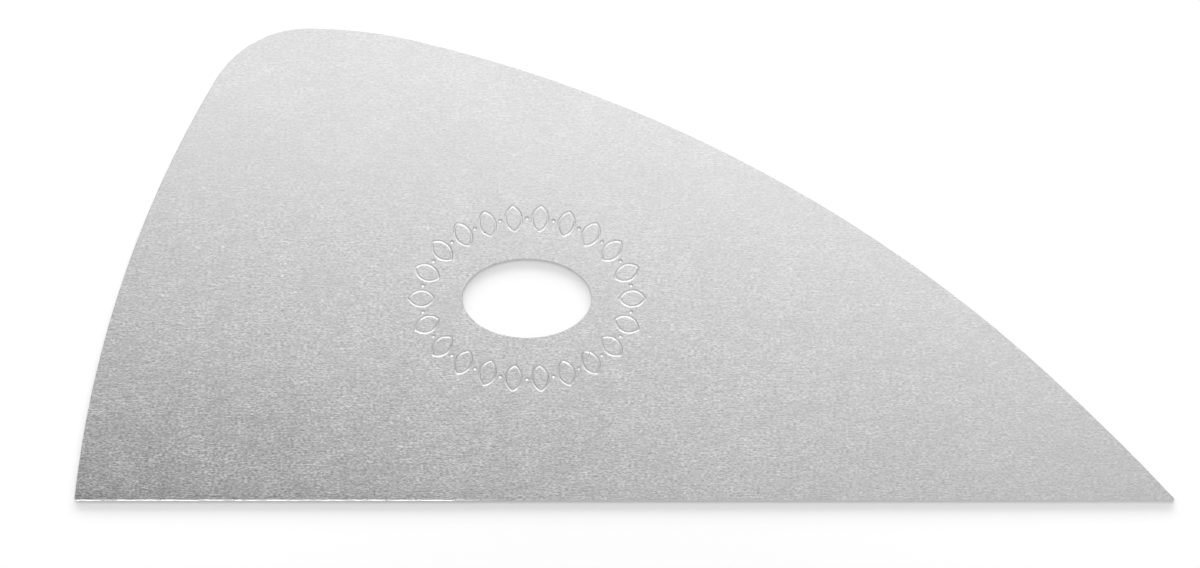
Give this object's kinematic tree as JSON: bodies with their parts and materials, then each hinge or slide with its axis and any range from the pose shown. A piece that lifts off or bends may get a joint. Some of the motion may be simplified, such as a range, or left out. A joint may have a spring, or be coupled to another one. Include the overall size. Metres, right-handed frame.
{
  "type": "pottery rib",
  "caption": "Thin flat pottery rib of brushed steel with a straight base, a long curved back, a sharp tip and an oval hanging hole, for smoothing and scraping clay.",
  "frame": {"origin": "on the back face, under the middle of the sheet's bounding box", "axes": "+X along the straight base from the heel to the tip, +Y from the base up to the crown, +Z out of the front face, which carries the stamped border"},
  "size_m": [0.1398, 0.06, 0.0005],
  "materials": {
    "stainless_sheet": "brushed along the base, satin"
  },
  "bodies": {
    "root": {"rib_blade": "stainless_sheet"}
  },
  "joints": []
}
